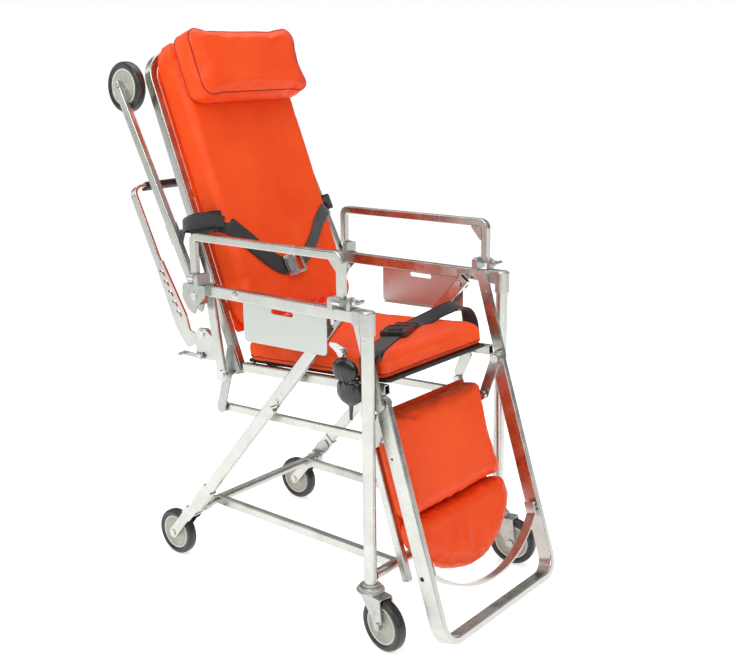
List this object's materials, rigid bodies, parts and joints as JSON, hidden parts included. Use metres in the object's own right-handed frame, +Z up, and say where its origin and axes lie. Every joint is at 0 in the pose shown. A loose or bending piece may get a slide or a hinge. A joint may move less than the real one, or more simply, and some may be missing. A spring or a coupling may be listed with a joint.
{
  "type": "stretcher trolley",
  "caption": "Convertible chair stretcher: wheeled aluminium frame with reclining padded back and leg rest that turn together into a flat bed.",
  "frame": {"origin": "on the floor under the middle of the overall length, on the centre plane, in the chair position", "axes": "+X the way the seated person faces, +Y their left, +Z up"},
  "size_m": [0.9832, 0.566, 1.3127],
  "materials": {
    "aluminium_tube": "satin anodised",
    "black_grip": "matt",
    "black_pouch": "gloss",
    "black_webbing": "woven",
    "board": "matt",
    "buckle_metal": "polished",
    "buckle_plastic": "gloss",
    "cast_fitting": "cast, satin",
    "hub_plastic": "satin",
    "orange_vinyl": "semi-gloss coated fabric",
    "panel_sheet": "fine matt",
    "steel_bolts": "bright",
    "tyre_rubber": "smooth",
    "zinc_plate": "bright zinc plated"
  },
  "bodies": {
    "frame": {"top_rails": "aluminium_tube", "front_posts": "aluminium_tube", "post_elbows": "cast_fitting", "rail_brackets": "zinc_plate", "side_panels": "panel_sheet", "hangers": "aluminium_tube", "rear_uprights": "aluminium_tube", "rear_legs": "aluminium_tube", "rear_forks": "aluminium_tube", "base_frame": "aluminium_tube", "corner_brackets": "zinc_plate", "caster_sockets": "cast_fitting", "seat_frame": "aluminium_tube", "seat_board": "board", "seat_cushion": "orange_vinyl", "lap_belt": "black_webbing", "lap_buckle": "buckle_plastic", "strap_grip": "black_pouch", "grip_knob": "steel_bolts", "arm_hinges": "cast_fitting", "pivot_bolts": "steel_bolts"},
    "backrest": {"back_frame": "aluminium_tube", "back_board": "board", "back_cushion": "orange_vinyl", "head_pillow": "orange_vinyl", "back_cranks": "zinc_plate", "chest_belt": "black_webbing", "chest_buckle": "buckle_metal"},
    "push_handle": {"push_handle": "aluminium_tube", "handle_grips": "black_grip"},
    "release_lever": {"release_lever": "zinc_plate"},
    "legrest": {"legrest_frame": "aluminium_tube", "legrest_cranks": "zinc_plate", "foot_band": "aluminium_tube"},
    "legrest_pad": {"pad_frame": "aluminium_tube", "pad_board": "board", "calf_cushion": "orange_vinyl", "foot_cushion": "orange_vinyl"},
    "sync_rods": {"sync_rods": "aluminium_tube"},
    "armrest_left": {"armrest_left": "aluminium_tube"},
    "arm_pin_left": {"arm_pin_left": "steel_bolts"},
    "loading_leg_left": {"loading_leg_left": "aluminium_tube"},
    "loading_wheel_left": {"loading_tyre_left": "tyre_rubber", "loading_hub_left": "hub_plastic"},
    "caster_left": {"caster_fork_left": "zinc_plate"},
    "caster_wheel_left": {"caster_tyre_left": "tyre_rubber", "caster_hub_left": "hub_plastic"},
    "rear_wheel_left": {"rear_tyre_left": "tyre_rubber", "rear_hub_left": "hub_plastic"},
    "armrest_right": {"armrest_right": "aluminium_tube"},
    "arm_pin_right": {"arm_pin_right": "steel_bolts"},
    "loading_leg_right": {"loading_leg_right": "aluminium_tube"},
    "loading_wheel_right": {"loading_tyre_right": "tyre_rubber", "loading_hub_right": "hub_plastic"},
    "caster_right": {"caster_fork_right": "zinc_plate"},
    "caster_wheel_right": {"caster_tyre_right": "tyre_rubber", "caster_hub_right": "hub_plastic"},
    "rear_wheel_right": {"rear_tyre_right": "tyre_rubber", "rear_hub_right": "hub_plastic"}
  },
  "joints": [
    {"name": "backrest_recline", "type": "hinge", "parent": "frame", "child": "backrest", "pos_m": [-0.1584, 0, 0.516], "axis": [0, -1, 0], "range_deg": [0, 69]},
    {"name": "legrest_lift", "type": "hinge", "parent": "frame", "child": "legrest", "pos_m": [0.3166, 0, 0.536], "axis": [0, -1, 0], "range_deg": [0, 69]},
    {"name": "pad_lift", "type": "hinge", "parent": "frame", "child": "legrest_pad", "pos_m": [0.2566, 0, 0.549], "axis": [0, -1, 0], "range_deg": [0, 69]},
    {"name": "sync_rod_swing", "type": "hinge", "parent": "backrest", "child": "sync_rods", "pos_m": [-0.18837, 0, 0.42375], "axis": [0, -1, 0], "range_deg": [-69, 0]},
    {"name": "push_handle_swing", "type": "hinge", "parent": "frame", "child": "push_handle", "pos_m": [-0.2224, 0, 0.604], "axis": [0, -1, 0], "range_deg": [0, 69]},
    {"name": "release_lever_turn", "type": "hinge", "parent": "frame", "child": "release_lever", "pos_m": [-0.2204, -0.238, 0.552], "axis": [0, -1, 0], "range_deg": [0, 25], "stiffness_Nm_per_rad": 0.35, "springref_deg": -8.59},
    {"name": "loading_leg_swing_left", "type": "hinge", "parent": "frame", "child": "loading_leg_left", "pos_m": [-0.1944, 0.259, 0.708], "axis": [0, -1, 0], "range_deg": [0, 79.4]},
    {"name": "loading_wheel_spin_left", "type": "hinge", "parent": "loading_leg_left", "child": "loading_wheel_left", "pos_m": [-0.43274, 0.236, 1.17578], "axis": [0, 1, 0], "continuous": true},
    {"name": "rear_wheel_spin_left", "type": "hinge", "parent": "frame", "child": "rear_wheel_left", "pos_m": [-0.3554, 0.228, 0.059], "axis": [0, 1, 0], "continuous": true},
    {"name": "caster_swivel_left", "type": "hinge", "parent": "frame", "child": "caster_left", "pos_m": [0.3036, 0.251, 0.059], "axis": [0, 0, 1], "continuous": true},
    {"name": "caster_wheel_spin_left", "type": "hinge", "parent": "caster_left", "child": "caster_wheel_left", "pos_m": [0.3456, 0.258, 0.059], "axis": [-0.1644, 0.9864, 0], "continuous": true},
    {"name": "armrest_flip_left", "type": "hinge", "parent": "frame", "child": "armrest_left", "pos_m": [0.0281, 0.274, 0.754], "axis": [-1, 0, 0], "range_deg": [0, 175]},
    {"name": "arm_pin_slide_left", "type": "slide", "parent": "frame", "child": "arm_pin_left", "axis": [1, 0, 0], "range_m": [0, 0.01], "stiffness_N_per_m": 400, "springref_m": -0.01},
    {"name": "loading_leg_swing_right", "type": "hinge", "parent": "frame", "child": "loading_leg_right", "pos_m": [-0.1944, -0.259, 0.708], "axis": [0, -1, 0], "range_deg": [0, 79.4]},
    {"name": "loading_wheel_spin_right", "type": "hinge", "parent": "loading_leg_right", "child": "loading_wheel_right", "pos_m": [-0.43274, -0.236, 1.17578], "axis": [0, 1, 0], "continuous": true},
    {"name": "rear_wheel_spin_right", "type": "hinge", "parent": "frame", "child": "rear_wheel_right", "pos_m": [-0.3554, -0.228, 0.059], "axis": [0, 1, 0], "continuous": true},
    {"name": "caster_swivel_right", "type": "hinge", "parent": "frame", "child": "caster_right", "pos_m": [0.3036, -0.251, 0.059], "axis": [0, 0, 1], "continuous": true},
    {"name": "caster_wheel_spin_right", "type": "hinge", "parent": "caster_right", "child": "caster_wheel_right", "pos_m": [0.3456, -0.258, 0.059], "axis": [0.1644, 0.9864, 0], "continuous": true},
    {"name": "armrest_flip_right", "type": "hinge", "parent": "frame", "child": "armrest_right", "pos_m": [0.0281, -0.274, 0.754], "axis": [1, 0, 0], "range_deg": [0, 175]},
    {"name": "arm_pin_slide_right", "type": "slide", "parent": "frame", "child": "arm_pin_right", "axis": [1, 0, 0], "range_m": [0, 0.01], "stiffness_N_per_m": 400, "springref_m": -0.01}
  ],
  "couplings": [
    {"joint": "legrest_lift", "follows": "backrest_recline", "ratio": 1},
    {"joint": "pad_lift", "follows": "backrest_recline", "ratio": 1},
    {"joint": "sync_rod_swing", "follows": "backrest_recline", "ratio": -1},
    {"joint": "push_handle_swing", "follows": "backrest_recline", "ratio": 1},
    {"joint": "loading_leg_swing_left", "follows": "backrest_recline", "ratio": 1.15},
    {"joint": "loading_leg_swing_right", "follows": "backrest_recline", "ratio": 1.15}
  ]
}
